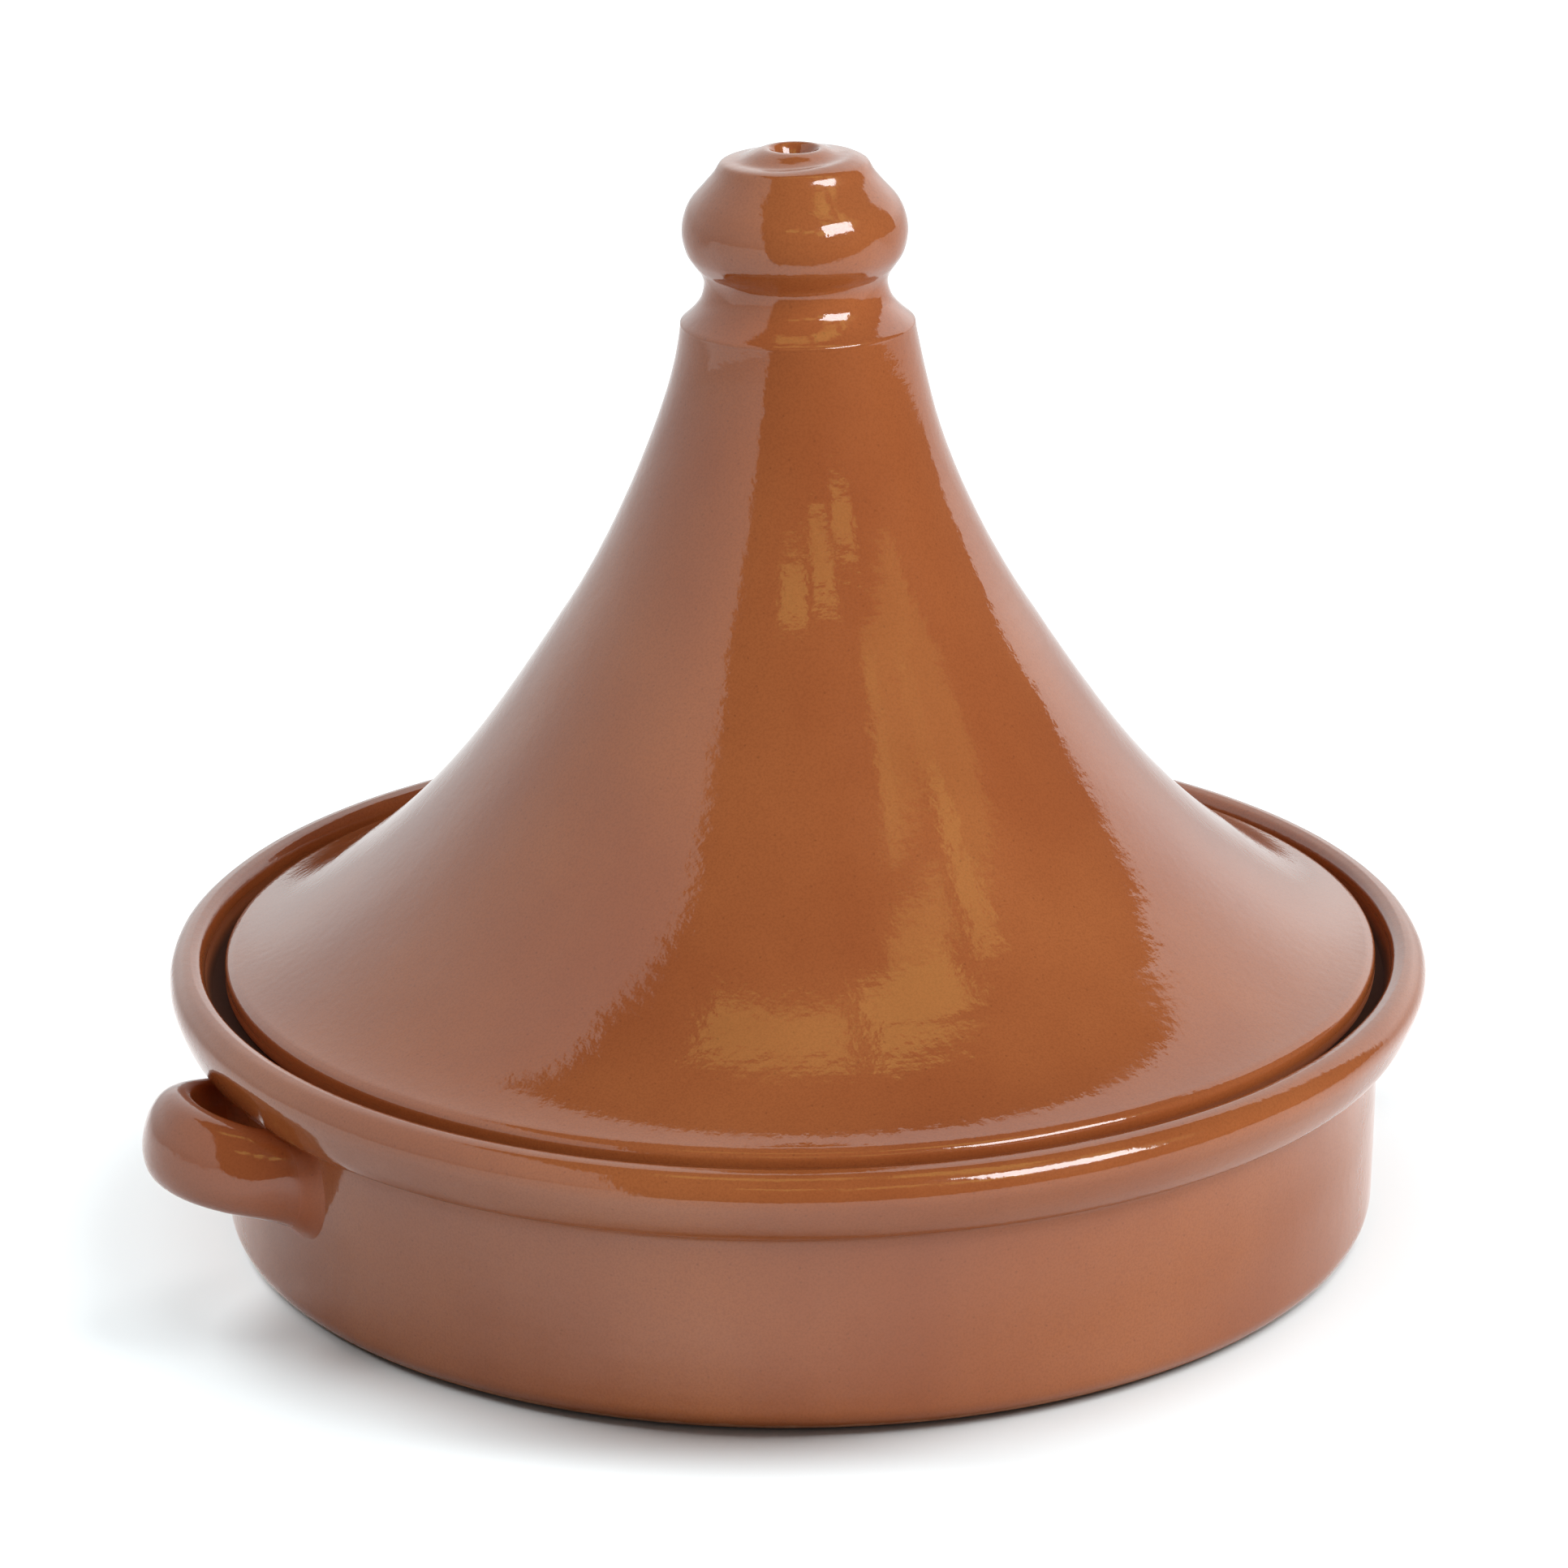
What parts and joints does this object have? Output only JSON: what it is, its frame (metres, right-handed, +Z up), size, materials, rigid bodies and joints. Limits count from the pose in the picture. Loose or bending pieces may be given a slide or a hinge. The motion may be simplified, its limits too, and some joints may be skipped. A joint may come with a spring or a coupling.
{
  "type": "tagine pot",
  "caption": "Round earthenware stewing dish with loop handles and a tall flared lift-off lid that ends in a vented knob, glazed honey brown.",
  "frame": {"origin": "centre of the dish's underside, on the surface it stands on", "axes": "+Z up, along the axis of the dish and the lid; +X through one loop handle and -X through the other; +Y completes the right-handed frame"},
  "size_m": [0.3344, 0.302, 0.2606],
  "materials": {
    "dish_glaze": "gloss",
    "handle_glaze": "gloss",
    "lid_glaze": "gloss"
  },
  "bodies": {
    "dish": {"dish": "dish_glaze", "handle_left": "handle_glaze", "handle_right": "handle_glaze"},
    "lid": {"lid_cone": "lid_glaze", "lid_knob": "lid_glaze"}
  },
  "joints": [
    {"name": "lid_lift", "type": "slide", "parent": "dish", "child": "lid", "axis": [0, 0, 1], "range_m": [0, 0.12]}
  ]
}
